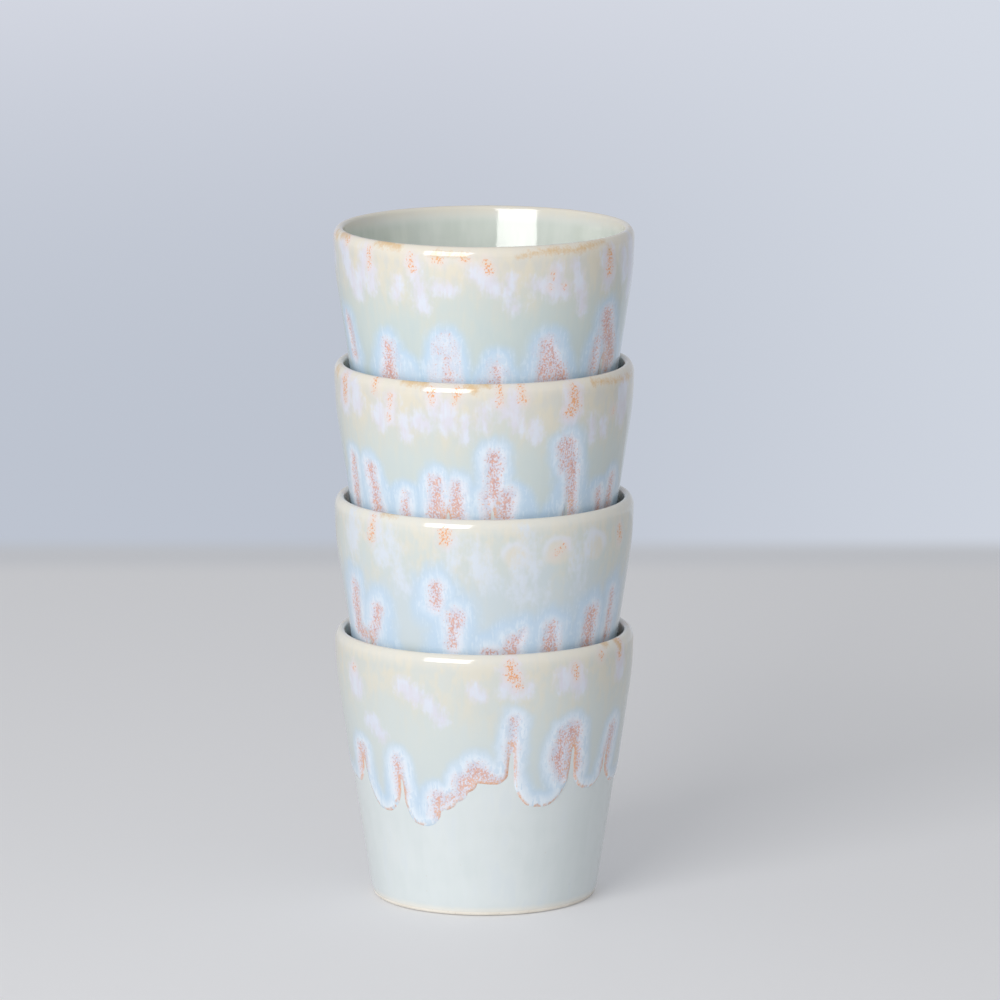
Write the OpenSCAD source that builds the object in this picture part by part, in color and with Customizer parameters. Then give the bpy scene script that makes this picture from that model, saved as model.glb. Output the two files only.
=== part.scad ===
// Four stacking espresso cups without handles, each nested in the one below.
// Every cup is a stoneware body under a base glaze, with a second glaze
// that has run down from the rim and stopped in a wavy edge of drips.

/* [Cup] */
// Outside diameter at the rim, over both glazes
rim_d = 65; // [60:0.5:72]
// Height from the table to the top of the lip, over both glazes
cup_h = 59; // [54:0.5:68]
// Diameter at which the line of the outside wall would meet the table
foot_d = 48.9; // [45:0.1:52]
// Radius of the bend that brings the wall upright below the lip
shoulder_r = 74; // [50:1:120]
// Thickness of the lip, over both glazes
lip_t = 2.2; // [1.8:0.1:3]
// Radius that rounds the lip over on the outside, over both glazes
lip_out_r = 3; // [2.4:0.1:4]
// Radius of the lip's top edge, over both glazes
lip_top_r = 0.85; // [0.75:0.05:0.85]
// Diameter at which the line of the inside wall would meet the floor
bore_d = 39.8; // [36:0.1:41]
// Thickness of the floor above the table
floor_t = 6; // [4.5:0.1:9]
// Radius between the inside wall and the floor
floor_fillet_r = 13; // [6:0.5:15]

/* [Foot] */
// Width of the ring that the cup stands on
foot_ring_w = 3.6; // [2.5:0.1:6]
// Depth of the hollow inside the ring
foot_hollow = 1.4; // [0.8:0.1:2.5]
// Radius of the two edges of the ring
foot_edge_r = 0.7; // [0.3:0.1:0.8]
// Height of the bare clay line between the table and the glaze
bare_h = 0.8; // [0.8:0.1:2]

/* [Glazes] */
// Thickness of the base glaze
glaze_t = 0.3; // [0.2:0.05:0.45]
// Thickness of the second glaze
run_t = 0.25; // [0.15:0.05:0.35]
// Reach of the longest drip, measured down from the top of the lip
run_drop = 39; // [32:0.5:44]
// Reach of the second glaze down the inside, from the top of the lip
run_inside = 7; // [4:0.5:12]

/* [Stack] */
// Gap between the foot of a nested cup and the wall that carries it
nest_gap = 0.25; // [0.15:0.05:0.5]

/* [Hidden] */
$fn = 180;

clay_colour = [0.90, 0.87, 0.80];
glaze_colour = [0.78, 0.85, 0.84];
drips_colour = [0.86, 0.90, 0.96];

// The drip edge of each cup, from the bottom of the stack: angle from the front, positive
// to the right, and the drip's reach there as a share of the longest drip
DRIP_EDGES = [
  [
    [-73.5, 0.82], [-70, 0.825], [-62, 0.655], [-51, 0.94], [-47.5, 0.945], [-38, 0.77],
    [-31.5, 0.99], [-26.5, 1.00], [-19, 0.90], [-12, 0.845], [-7, 0.785], [-3, 0.732],
    [5.5, 0.74], [11.3, 0.63], [20.5, 0.875], [27, 0.885], [39.7, 0.65], [48.5, 0.815],
    [52.5, 0.82], [62, 0.68], [74, 0.835], [78, 0.84], [92, 0.68], [107, 0.93], [121, 0.76],
    [136, 0.98], [152, 0.70],
    [168, 0.86], [182, 0.67], [198, 0.92], [213, 0.75], [229, 0.96], [243, 0.77], [256, 0.88],
    [270, 0.70]
  ],
  [
    [-74, 0.93], [-62, 0.80], [-54, 0.90], [-47, 0.80], [-33, 0.98], [-18, 0.82], [-9, 0.79],
    [2, 0.97], [11, 0.80], [20, 0.94], [29, 0.79], [40, 0.92], [49, 0.80], [58, 0.91], [67, 0.80],
    [82, 0.97], [98, 0.78], [112, 0.91], [128, 0.76], [144, 0.95], [158, 0.80], [172, 0.93],
    [188, 0.75], [204, 0.99], [220, 0.79], [236, 0.90], [252, 0.77], [268, 0.95], [278, 0.83]
  ],
  [
    [-73, 0.90], [-65, 0.80], [-58, 0.88], [-51, 0.80], [-42, 0.96], [-33, 0.84], [-26, 0.93],
    [-19, 0.81], [-14, 0.87], [-9, 0.80], [-2, 0.92], [6, 0.79], [20, 0.98], [35, 0.79],
    [48, 0.93], [56, 0.83], [61, 0.89], [67, 0.80], [84, 0.98], [100, 0.76], [115, 0.91],
    [130, 0.78], [147, 0.97], [163, 0.75], [180, 0.90], [197, 0.78], [213, 0.96], [230, 0.76],
    [247, 0.92], [264, 0.77], [277, 0.92]
  ],
  [
    [-78, 0.92], [-67, 0.79], [-55, 0.94], [-43, 0.80], [-30, 0.97], [-16, 0.80], [-5, 0.92],
    [5, 0.82], [15, 0.95], [28, 0.79], [41, 0.93], [50, 0.82], [57, 0.79], [74, 0.97], [90, 0.77],
    [105, 0.90], [120, 0.75], [137, 0.98], [154, 0.79], [170, 0.93], [186, 0.76], [203, 0.95],
    [219, 0.75], [236, 0.97], [251, 0.79], [267, 0.90], [275, 0.80]
  ]
];

// Fineness of the drawn curves
ARC_STEPS = 8;
EDGE_STEPS = 240;
// Fullness of a drip's round end
DRIP_ROUND = 1.8;
// Room by which the drip cutter passes what it cuts
CUT_SPARE = 3;

// The base glaze surface: the outside wall rises from the foot, tangent to the shoulder's circle
rim_r = rim_d / 2 - run_t;
lip_r = lip_top_r - run_t;
round_r = lip_out_r - run_t;
lip_turn = acos((round_r + lip_r - lip_t + 2 * run_t) / (round_r - lip_r));
round_c = [rim_r - round_r, cup_h - lip_top_r - (round_r - lip_r) * sin(lip_turn)];
lip_c = round_c + (round_r - lip_r) * [cos(lip_turn), sin(lip_turn)];
foot_r = foot_d / 2;
shoulder_c = [rim_r - shoulder_r, round_c[1]];
to_shoulder = shoulder_c - [foot_r, 0];
wall_a = 90 - atan2(to_shoulder[1], to_shoulder[0]) + asin(shoulder_r / norm(to_shoulder));

// The inside wall rises from the floor, tangent to the inner side of the lip's circle
to_lip = lip_c - [bore_d / 2, floor_t];
bore_a = atan2(to_lip[0], to_lip[1]) - asin(lip_r / norm(to_lip));
bore_top = lip_c + lip_r * [-cos(bore_a), sin(bore_a)];
bore_in = [-cos(bore_a), sin(bore_a)];
fillet_c = [bore_r(floor_t + floor_fillet_r) - floor_fillet_r / cos(bore_a), floor_t + floor_fillet_r];

// A cup goes down into the next until its foot meets the inside wall or its wall meets the lip
seat = [wall_r(bare_h), bare_h];
pitch_at_foot = (nest_gap - (seat - bore_top) * bore_in) / sin(bore_a);
lip_room = lip_r + 2 * run_t + nest_gap;
pitch_at_lip = lip_c[1] + (lip_room - (lip_c[0] - foot_r) * cos(wall_a)) / sin(wall_a);
nest_pitch = max(pitch_at_foot, pitch_at_lip);

// The foot ring, with its outer edge rounded into the clay wall
foot_c = [wall_r(foot_edge_r) - (glaze_t + foot_edge_r) / cos(wall_a), foot_edge_r];
ring_in = foot_c[0] + foot_edge_r - foot_ring_w;
hollow_c = [ring_in + foot_edge_r * tan(22.5), foot_edge_r];
hollow_r = ring_in - foot_hollow;

// Radius of the glazed outside wall and of the glazed inside wall at a height
function wall_r(z) = foot_r + z * tan(wall_a);
function bore_r(z) = bore_top[0] - (bore_top[1] - z) * tan(bore_a);

function arc(c, r, from, to) =
  [for (i = [0:ARC_STEPS]) let (a = from + (to - from) * i / ARC_STEPS) c + r * [cos(a), sin(a)]];

// A point of the outside or inside wall, moved by a depth into the clay
function wall_point(z, depth) = [wall_r(z), z] - depth * [cos(wall_a), -sin(wall_a)];
function bore_point(z, depth) = [bore_r(z), z] - depth * bore_in;

// The bend below the lip, its outer round and its top edge, at a depth into the clay
function rim_line(depth) = concat(
  arc(shoulder_c, shoulder_r - depth, -wall_a, 0),
  arc(round_c, round_r - depth, 0, lip_turn),
  arc(lip_c, lip_r - depth, lip_turn, 180 - bore_a)
);

// The inside from the lip to the middle of the floor, at a depth into the clay
function inside_line(depth) = concat(
  arc(fillet_c, floor_fillet_r + depth, -bore_a, -90),
  [[0, floor_t - depth]]
);

function reversed(list) = [for (i = [len(list) - 1:-1:0]) list[i]];

// The clay below the glaze line: hollow, ring and rounded outer edge, from the axis outwards
foot_line = concat(
  [[0, foot_hollow], [hollow_r, foot_hollow]],
  arc(hollow_c, foot_edge_r, 225, 270),
  arc(foot_c, foot_edge_r, -90, -wall_a)
);

// Reach of the drips of one cup at an angle: round at each drip's end, sharp where two drips part
function parting(t) = 1 - pow(1 - pow(t, DRIP_ROUND), 1 / DRIP_ROUND);
function drip_reach(edge, angle) =
  let (
    first = edge[0],
    a = angle - 360 * floor((angle - first[0]) / 360),
    before = [for (p = edge) if (p[0] <= a) p],
    from = before[len(before) - 1],
    to = len(before) < len(edge) ? edge[len(before)] : [first[0] + 360, first[1]],
    t = (a - from[0]) / (to[0] - from[0]),
    rise = from[1] - to[1]
  )
  run_drop * (rise > 0 ? from[1] - rise * parting(t) : to[1] + rise * parting(1 - t));

// Everything outside the cup that lies below its drip edge
module below_drips(edge) {
  inner = foot_r - CUT_SPARE;
  outer = rim_r + CUT_SPARE;
  points = [
    for (i = [0:EDGE_STEPS - 1])
      let (
        a = 360 * i / EDGE_STEPS,
        way = [sin(a), -cos(a)],
        top = cup_h - drip_reach(edge, a)
      )
      each [
        [inner * way[0], inner * way[1], 0],
        [outer * way[0], outer * way[1], 0],
        [outer * way[0], outer * way[1], top],
        [inner * way[0], inner * way[1], top]
      ]
  ];
  faces = [
    for (i = [0:EDGE_STEPS - 1], side = [0:3])
      let (
        here = 4 * i,
        next = 4 * ((i + 1) % EDGE_STEPS),
        other = (side + 1) % 4
      )
      each [
        [here + side, next + other, next + side],
        [here + side, here + other, next + other]
      ]
  ];
  polyhedron(points, faces);
}

module nested(k) {
  translate([0, 0, (k - 1) * nest_pitch]) children();
}

module cup_body(k) {
  color(clay_colour) nested(k)
    rotate_extrude()
      polygon(concat(foot_line, rim_line(glaze_t), inside_line(glaze_t)));
}

// The base glaze covers the cup from the bare line over the lip to the inside, and the hollow of the foot
module cup_glaze(k) {
  outer = concat([wall_point(bare_h, 0)], rim_line(0), inside_line(0));
  inner = concat([wall_point(bare_h, glaze_t)], rim_line(glaze_t), inside_line(glaze_t));
  color(glaze_colour) nested(k) {
    rotate_extrude() polygon(concat(outer, reversed(inner)));
    translate([0, 0, foot_hollow - glaze_t]) cylinder(h = glaze_t, r = hollow_r);
  }
}

// The second glaze hangs over the lip, a little way inside and in drips outside
module cup_drips(k) {
  low = cup_h - run_drop - CUT_SPARE;
  top_inside = cup_h - run_inside;
  outer = concat([wall_point(low, -run_t)], rim_line(-run_t), [bore_point(top_inside, -run_t)]);
  inner = concat([wall_point(low, 0)], rim_line(0), [bore_point(top_inside, 0)]);
  color(drips_colour) nested(k)
    difference() {
      rotate_extrude() polygon(concat(outer, reversed(inner)));
      below_drips(DRIP_EDGES[k - 1]);
    }
}

cup_body(1);  // cup_1_body
cup_glaze(1);  // cup_1_glaze
cup_drips(1);  // cup_1_drips
cup_body(2);  // cup_2_body
cup_glaze(2);  // cup_2_glaze
cup_drips(2);  // cup_2_drips
cup_body(3);  // cup_3_body
cup_glaze(3);  // cup_3_glaze
cup_drips(3);  // cup_3_drips
cup_body(4);  // cup_4_body
cup_glaze(4);  // cup_4_glaze
cup_drips(4);  // cup_4_drips
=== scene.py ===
# %% [markdown]
# # A stack of four espresso cups in run glaze
# The real thing is a set of small stoneware cups without handles, each nested in the one below.
# A cup is thrown clay under a pale base glaze. A second glaze is put on round the rim, melts in the
# kiln and runs down into drips, white and blue where it is thick and rust where it is thin.
# This lesson keeps the clay as the CAD part has it, and makes both glazes anew in finer detail.

# %% Load the part
import math

import bpy
import numpy as np
from mathutils import Euler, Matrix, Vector


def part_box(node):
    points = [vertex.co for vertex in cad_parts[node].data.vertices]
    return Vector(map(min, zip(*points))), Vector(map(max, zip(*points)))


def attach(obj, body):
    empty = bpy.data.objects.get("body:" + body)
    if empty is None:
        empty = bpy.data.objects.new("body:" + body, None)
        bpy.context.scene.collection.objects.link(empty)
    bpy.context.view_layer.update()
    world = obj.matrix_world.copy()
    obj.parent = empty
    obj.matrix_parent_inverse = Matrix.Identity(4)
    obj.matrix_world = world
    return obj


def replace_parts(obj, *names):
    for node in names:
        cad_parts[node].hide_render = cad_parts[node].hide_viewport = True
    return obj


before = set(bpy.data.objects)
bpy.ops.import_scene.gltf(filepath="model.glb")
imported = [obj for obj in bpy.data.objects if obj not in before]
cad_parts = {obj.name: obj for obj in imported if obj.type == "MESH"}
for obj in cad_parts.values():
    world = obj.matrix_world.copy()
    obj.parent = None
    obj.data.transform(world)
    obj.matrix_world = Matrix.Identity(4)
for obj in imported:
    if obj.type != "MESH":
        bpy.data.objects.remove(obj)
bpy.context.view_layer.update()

# %% [markdown]
# ## The cup's outline
# Every layer of a cup is the same outline turned about the axis: a straight wall that leans out, a bend
# that brings it upright, a lip rounded wide outside and tight on top, and a straight inside to a bowl.
# The heights and the step from cup to cup are read from the CAD part, and the rest are its own sizes.
# Each line can be asked for at a depth into the clay, so that all layers lie exactly on each other.
# The mid radius turns angles into distances on the wall, and FAR is a distance that no mark reaches.

# %% Sizes of one cup, in millimetres
MM = 0.001
CUPS = (1, 2, 3, 4)
step_up = (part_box("cup_2_body")[0].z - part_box("cup_1_body")[0].z) / MM
cup_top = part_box("cup_1_drips")[1].z / MM
run_thick = 0.25
base_thick = 0.3
rim_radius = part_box("cup_1_drips")[1].x / MM - run_thick
lip_round = 2.75
lip_edge = 0.6
lip_width = 1.7
foot_radius = 24.45
shoulder_round = 74.0
bore_radius = 19.9
floor_top = 6.0
bowl_round = 13.0
bare_line = 0.8
foot_hollow = 1.4
hollow_radius = 19.245
longest_drip = 39.0
reach_inside = 7.0
mid_radius = 29.0
SHARP = math.radians(50)
FAR = 20.0

lip_turn = math.acos((lip_round + lip_edge - lip_width) / (lip_round - lip_edge))
lip_at = np.array([rim_radius - lip_width + lip_edge, cup_top - run_thick - lip_edge])
round_at = lip_at - (lip_round - lip_edge) * np.array([math.cos(lip_turn), math.sin(lip_turn)])
shoulder_at = np.array([rim_radius - shoulder_round, round_at[1]])
to_shoulder = shoulder_at - [foot_radius, 0]
wall_lean = (math.pi / 2 - math.atan2(to_shoulder[1], to_shoulder[0])
             + math.asin(shoulder_round / np.hypot(*to_shoulder)))
to_lip = lip_at - [bore_radius, floor_top]
bore_lean = math.atan2(to_lip[0], to_lip[1]) - math.asin(lip_edge / np.hypot(*to_lip))
print(f"step {step_up:.2f} mm, wall leans {math.degrees(wall_lean):.2f} degrees,",
      f"bore {math.degrees(bore_lean):.2f} degrees")


# %% The outline at any depth
def arc(centre, radius, start, end, steps):
    turn = np.linspace(start, end, steps + 1)
    return centre + radius * np.stack([np.cos(turn), np.sin(turn)], 1)


def straight(start, end, steps):
    return np.linspace(start, end, steps + 1)


def outline(depth, low, inside_low, wall_steps, bend_steps, lip_steps, bore_steps):
    """The glazed surface from a height on the outside, over the lip, to a height on the inside."""
    wall_out = np.array([math.cos(wall_lean), -math.sin(wall_lean)])
    start = np.array([foot_radius + low * math.tan(wall_lean), low]) - depth * wall_out
    bend = arc(shoulder_at, shoulder_round - depth, -wall_lean, 0, bend_steps)
    over = arc(round_at, lip_round - depth, 0, lip_turn, lip_steps)
    lip = arc(lip_at, lip_edge - depth, lip_turn, math.pi - bore_lean, lip_steps)
    drop = (lip[-1][1] - inside_low) * math.tan(bore_lean)
    end = np.array([lip[-1][0] - drop, inside_low])
    return np.concatenate([
        straight(start, bend[0], wall_steps), bend[1:], over[1:], lip[1:],
        straight(lip[-1], end, bore_steps)[1:],
    ])


def bowl(depth, steps):
    """The inside from the bottom of the straight bore to the middle of the floor."""
    centre_z = floor_top + bowl_round
    bore_here = lip_at[0] - lip_edge * math.cos(bore_lean)
    bore_here -= (lip_at[1] + lip_edge * math.sin(bore_lean) - centre_z) * math.tan(bore_lean)
    centre = np.array([bore_here - bowl_round / math.cos(bore_lean), centre_z])
    round_part = arc(centre, bowl_round + depth, -bore_lean, -math.pi / 2, steps)
    return np.concatenate([round_part, straight(round_part[-1], [0.0, floor_top - depth], 4)[1:]])


print("bowl of the cup ends at", bowl(0, 8)[-1])

# %% [markdown]
# ## The camera
# The photograph looks a little down on the stack with a long lens, so the rims are flat ellipses.
# The distance, tilt and lens were fitted to the rims and edges of the four cups.
# The stack is aimed a little low and left of the middle by turning the camera, so the lens needs no shift.
# Distances are in metres, the tilt in degrees, and places in the picture in pixels.

# %% Set up the camera
camera_distance = 1.60
camera_tilt = 10.88
aim_height = 0.074
stack_column, stack_row = 483.9, 558.5
lens_in_pixels = 7357.7
picture_size = 1000.0
sensor_size = 36.0

camera = bpy.data.objects.new("camera", bpy.data.cameras.new("camera"))
bpy.context.scene.collection.objects.link(camera)
camera.data.sensor_width = sensor_size
camera.data.lens = sensor_size * lens_in_pixels / picture_size
tilt = math.radians(camera_tilt)
in_front = camera_distance * math.cos(tilt)
above = aim_height + camera_distance * math.sin(tilt)
camera.location = Vector((0, -in_front, above))
look_up = math.atan((stack_row - picture_size / 2) / lens_in_pixels)
look_right = math.atan((picture_size / 2 - stack_column) / lens_in_pixels)
camera.rotation_euler = Euler((math.pi / 2 - tilt + look_up, 0, -look_right))
bpy.context.scene.camera = camera
print("lens", round(camera.data.lens, 1), "mm at", [round(x, 3) for x in camera.location])

# %% [markdown]
# ## Small helpers for the finishes
# A finish is a tree of shader nodes. These helpers add one node each and return its output, so that a
# finish below reads as a list of steps. Patterns are laid out in millimetres on the object itself.


# %% Numbers and colours
def wire(tree, node, socket, value):
    if isinstance(value, bpy.types.NodeSocket):
        tree.links.new(value, node.inputs[socket])
    else:
        node.inputs[socket].default_value = value


def maths(tree, operation, first, second=0.0):
    node = tree.nodes.new("ShaderNodeMath")
    node.operation = operation
    wire(tree, node, 0, first)
    wire(tree, node, 1, second)
    return node.outputs[0]


def times(tree, first, second):
    return maths(tree, "MULTIPLY", first, second)


def eased(tree, value, low, high, end=1.0):
    """Nought up to low and end from high on, softly between; low may be the larger of the two."""
    node = tree.nodes.new("ShaderNodeMapRange")
    node.interpolation_type = "SMOOTHSTEP"
    wire(tree, node, "Value", value)
    node.inputs["From Min"].default_value = min(low, high)
    node.inputs["From Max"].default_value = max(low, high)
    node.inputs["To Min"].default_value = 0.0 if low < high else end
    node.inputs["To Max"].default_value = end if low < high else 0.0
    return node.outputs[0]


def blended(tree, share, under, over):
    node = tree.nodes.new("ShaderNodeMix")
    node.data_type = "RGBA"
    for socket, value in ((0, share), (6, under), (7, over)):
        wire(tree, node, socket, (*value, 1.0) if isinstance(value, tuple) else value)
    return node.outputs[2]


def tinted(tree, under, over, value, low, high, end=1.0):
    """One colour eased over another as a value goes from low to high."""
    return blended(tree, eased(tree, value, low, high, end), under, over)


print("numbers and colours can be blended")


# %% Patterns on the object
def mark(tree, name):
    """A value that the mesh carries at each of its points."""
    node = tree.nodes.new("ShaderNodeAttribute")
    node.attribute_name = name
    return node.outputs["Fac"]


def spread_out(tree, across, along):
    """Places on the object, counted in grains that are so many millimetres wide and tall."""
    place = tree.nodes.new("ShaderNodeTexCoord")
    node = tree.nodes.new("ShaderNodeVectorMath")
    node.operation = "MULTIPLY"
    tree.links.new(place.outputs["Object"], node.inputs[0])
    node.inputs[1].default_value = (1 / MM / across, 1 / MM / across, 1 / MM / along)
    return node.outputs[0]


def mottle(tree, across, along, detail=2.0):
    """Soft noise about nought, mostly between -0.25 and 0.25."""
    node = tree.nodes.new("ShaderNodeTexNoise")
    node.inputs["Scale"].default_value = 1.0
    node.inputs["Detail"].default_value = detail
    wire(tree, node, "Vector", spread_out(tree, across, along))
    return maths(tree, "SUBTRACT", node.outputs["Fac"], 0.5)


def specks(tree, apart, size, share):
    """Round specks; share is how many of the places hold one."""
    node = tree.nodes.new("ShaderNodeTexVoronoi")
    node.inputs["Scale"].default_value = 1.0
    wire(tree, node, "Vector", spread_out(tree, apart, apart))
    dot = eased(tree, node.outputs["Distance"], size, size * 0.55)
    chance = tree.nodes.new("ShaderNodeSeparateColor")
    tree.links.new(node.outputs["Color"], chance.inputs[0])
    chosen = eased(tree, maths(tree, "SUBTRACT", share, chance.outputs[0]), 0.0, 0.08)
    return times(tree, dot, chosen)


def plus(tree, value, *parts):
    """A value with some of each noise added."""
    for noise, amount in parts:
        value = maths(tree, "ADD", value, times(tree, noise, amount))
    return value


print("patterns can be laid out")


# %% A new finish
def new_finish(name):
    material = bpy.data.materials.new(name)
    material.use_nodes = True
    shader = material.node_tree.nodes["Principled BSDF"]
    shader.inputs["IOR"].default_value = 1.7
    return material, material.node_tree, shader


def soft_bump(tree, shader, height, strength, depth_mm):
    node = tree.nodes.new("ShaderNodeBump")
    node.inputs["Strength"].default_value = strength
    node.inputs["Distance"].default_value = depth_mm * MM
    wire(tree, node, "Height", height)
    tree.links.new(node.outputs["Normal"], shader.inputs["Normal"])


print("finishes can be made")

# %% [markdown]
# ## Bare clay
# Only the ring that a cup stands on stays unglazed: a fine cream stoneware, dry and slightly sandy.
# The CAD solid already has its shape, so it only gets this finish.

# %% The stoneware finish
stoneware, tree, shader = new_finish("stoneware")
grain = mottle(tree, 0.35, 0.35, 4.0)
cloud = mottle(tree, 5.0, 5.0)
clay = tinted(tree, (0.80, 0.755, 0.67), (0.87, 0.83, 0.755), cloud, -0.2, 0.25)
sand = specks(tree, 0.8, 0.3, 0.25)
clay = blended(tree, times(tree, sand, 0.35), clay, (0.48, 0.39, 0.30))
wire(tree, shader, "Base Color", clay)
wire(tree, shader, "Roughness", maths(tree, "ADD", times(tree, grain, 0.2), 0.72))
soft_bump(tree, shader, grain, 0.25, 0.15)
for k in CUPS:
    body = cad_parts[f"cup_{k}_body"]
    body.data.materials.clear()
    body.data.materials.append(stoneware)

# %% [markdown]
# ## The base glaze
# Under everything lies an even, pale grey-green glaze. It is thin and smooth, a little greener inside,
# where light bounces between the walls, and a little paler where it thins out above the bare foot.
# Two soft noises, one drawn out downwards, keep it from looking like paint.

# %% The base glaze finish
def inside_colour(tree):
    runs = mottle(tree, 2.5, 16.0)
    cloud = mottle(tree, 9.0, 9.0)
    change = plus(tree, runs, (cloud, 0.7))
    return tinted(tree, (0.635, 0.69, 0.635), (0.705, 0.75, 0.70), change, -0.3, 0.3)


base_glaze, tree, shader = new_finish("base_glaze")
runs = mottle(tree, 2.5, 16.0)
cloud = mottle(tree, 9.0, 9.0)
change = plus(tree, cloud, (runs, 0.6))
outside = tinted(tree, (0.69, 0.75, 0.76), (0.74, 0.79, 0.80), change, -0.3, 0.3)
streaks = plus(tree, runs, (cloud, 0.6))
outside = tinted(tree, outside, (0.67, 0.74, 0.785), streaks, 0.02, 0.25, 0.4)
glaze = blended(tree, mark(tree, "inside"), outside, inside_colour(tree))
above_foot = plus(tree, mark(tree, "height"), (runs, 0.8))
glaze = tinted(tree, glaze, (0.86, 0.84, 0.775), above_foot, 2.4, 0.9, 0.8)
pinholes = specks(tree, 2.6, 0.07, 0.30)
glaze = blended(tree, times(tree, pinholes, 0.35), glaze, (0.60, 0.56, 0.48))
wire(tree, shader, "Base Color", glaze)
wire(tree, shader, "Roughness", maths(tree, "ADD", times(tree, cloud, 0.08), 0.08))
soft_bump(tree, shader, plus(tree, cloud, (runs, 0.3)), 0.10, 0.25)
print("base glaze has", len(tree.nodes), "nodes")

# %% [markdown]
# ## The run glaze
# The second glaze changes as it flows. At the lip it stays creamy, straw and sage in patches, on the wall
# it turns pale green, and along every edge, where it piles up, it goes blue and then white.
# Where two drips part, it was dragged thin, and iron from the clay comes through as rust specks on a mauve
# ground. Under the rim it clots into lavender clouds with orange flecks and a few burst bubbles, and
# inside the cup it is only a milky veil. Each cup came out a little warmer or bluer than the next, and the
# walls of the lower cups are painted paler, as painted bounce light from the floor.
# The mesh carries the distance in millimetres to each such place, and the noises here break up the edges.
# A painted picture would do as well from afar, but distances stay sharp from close by.

# %% Colours of the run glaze
deep_green = (0.505, 0.61, 0.63)
pale_green = (0.59, 0.665, 0.635)
steel_blue = (0.585, 0.675, 0.735)
bounce_mist = (0.69, 0.735, 0.73)
# The next colour is painted bounce light: a paler wall for the lower cups, lit from the floor below
cool_straw = (0.725, 0.71, 0.625)
warm_straw = (0.74, 0.695, 0.58)
cool_sage = (0.65, 0.69, 0.66)
warm_sage = (0.685, 0.67, 0.61)
cool_cream = (0.82, 0.79, 0.71)
warm_cream = (0.825, 0.775, 0.675)
biscuit = (0.76, 0.715, 0.63)
mauve_milk = (0.725, 0.70, 0.81)
blue_milk = (0.735, 0.78, 0.905)
thin_milk = (0.69, 0.765, 0.865)
ring_blue = (0.73, 0.77, 0.85)
sky_blue = (0.52, 0.685, 0.87)
hair_white = (0.76, 0.85, 0.94)
blue_white = (0.80, 0.875, 0.955)
mauve = (0.675, 0.605, 0.70)
dark_rust = (0.60, 0.25, 0.19)
light_rust = (0.80, 0.39, 0.23)
orange_rust = (0.83, 0.46, 0.25)
curd_white = (0.83, 0.82, 0.88)
edge_orange = (0.78, 0.40, 0.22)
rose = (0.80, 0.71, 0.73)
peach = (0.84, 0.61, 0.43)
fleck_orange = (0.81, 0.36, 0.14)
ochre_brown = (0.71, 0.48, 0.23)
veil_cream = (0.80, 0.815, 0.78)
print("palest rust:", orange_rust, "and deepest blue:", sky_blue)

# %% Wall, cream and lip
drip_glaze, tree, shader = new_finish("drip_glaze")
runs = mottle(tree, 1.3, 12.0, 3.0)
cloud = mottle(tree, 5.0, 7.0, 3.0)
blot = mottle(tree, 2.2, 3.4, 2.0)
curdle = mottle(tree, 0.8, 1.1, 2.0)
hair = mottle(tree, 0.5, 8.0, 2.0)
grit = mottle(tree, 0.38, 0.43, 2.0)
height = mark(tree, "height")
up = plus(tree, height, (cloud, 14.0), (runs, 9.0))

wall = tinted(tree, deep_green, pale_green, up, 26.0, 44.0)
blue_cup = times(tree, mark(tree, "blueness"), eased(tree, up, 55.0, 42.0))
wall = blended(tree, blue_cup, wall, steel_blue)
# Painted bounce light: the walls of the lower cups are painted paler, for the light the floor throws up
wall = blended(tree, mark(tree, "bounce_paleness"), wall, bounce_mist)
straw = blended(tree, mark(tree, "warmth"), cool_straw, warm_straw)
sage = blended(tree, mark(tree, "warmth"), cool_sage, warm_sage)
patches = plus(tree, blot, (cloud, 0.8), (runs, 0.4))
cream = tinted(tree, straw, sage, patches, 0.16, -0.16)
wall = tinted(tree, wall, cream, up, 39.0, 57.0)
lip = plus(tree, height, (runs, 1.5))
lip_colour = blended(tree, mark(tree, "warmth"), cool_cream, warm_cream)
wall = tinted(tree, wall, lip_colour, lip, 55.0, 58.4, 0.7)
print("wall, cream and lip:", len(tree.nodes), "nodes")

# %% Milk and burst bubbles under the rim
crater = plus(tree, mark(tree, "crater"), (blot, 0.9))
wall = tinted(tree, wall, biscuit, crater, -0.8, 0.8, 0.65)
milk = plus(tree, mark(tree, "milk"), (blot, 3.6), (runs, 1.0), (cloud, 2.4), (curdle, 2.4), (hair, 1.0))
milk_tint = plus(tree, blot, (hair, 0.4))
lavender = tinted(tree, mauve_milk, blue_milk, milk_tint, -0.15, 0.2)
lavender = blended(tree, mark(tree, "blueness"), lavender, thin_milk)
wall = tinted(tree, wall, lavender, milk, -1.9, 0.8, 0.86)
bubble = plus(tree, mark(tree, "bubble"), (blot, 1.6), (curdle, 0.5))
bubble = times(tree, eased(tree, bubble, -0.8, 0.4, 0.75), eased(tree, height, 49.0, 52.5))
wall = blended(tree, bubble, wall, ring_blue)
print("with milk:", len(tree.nodes), "nodes")

# %% Blue and white along the drips
blue = plus(tree, mark(tree, "blue_band"), (cloud, 2.4), (blot, 1.0), (runs, 0.3))
blue = eased(tree, blue, 4.4, 1.2, 0.82)
wall = blended(tree, blue, wall, sky_blue)
combed = eased(tree, plus(tree, hair, (runs, 0.5), (curdle, 0.8)), 0.0, 0.22, 0.5)
wall = blended(tree, times(tree, blue, combed), wall, hair_white)
white = plus(tree, mark(tree, "white_band"), (cloud, 2.4), (blot, 2.2), (curdle, 1.4), (hair, 0.8))
gaps = eased(tree, plus(tree, blot, (hair, 0.8), (curdle, 1.0)), 0.0, -0.22, 0.6)
white = times(tree, eased(tree, white, 3.1, 0.3, 0.95), maths(tree, "SUBTRACT", 1.0, gaps))
wall = blended(tree, white, wall, blue_white)
print("with blue and white:", len(tree.nodes), "nodes")

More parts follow.
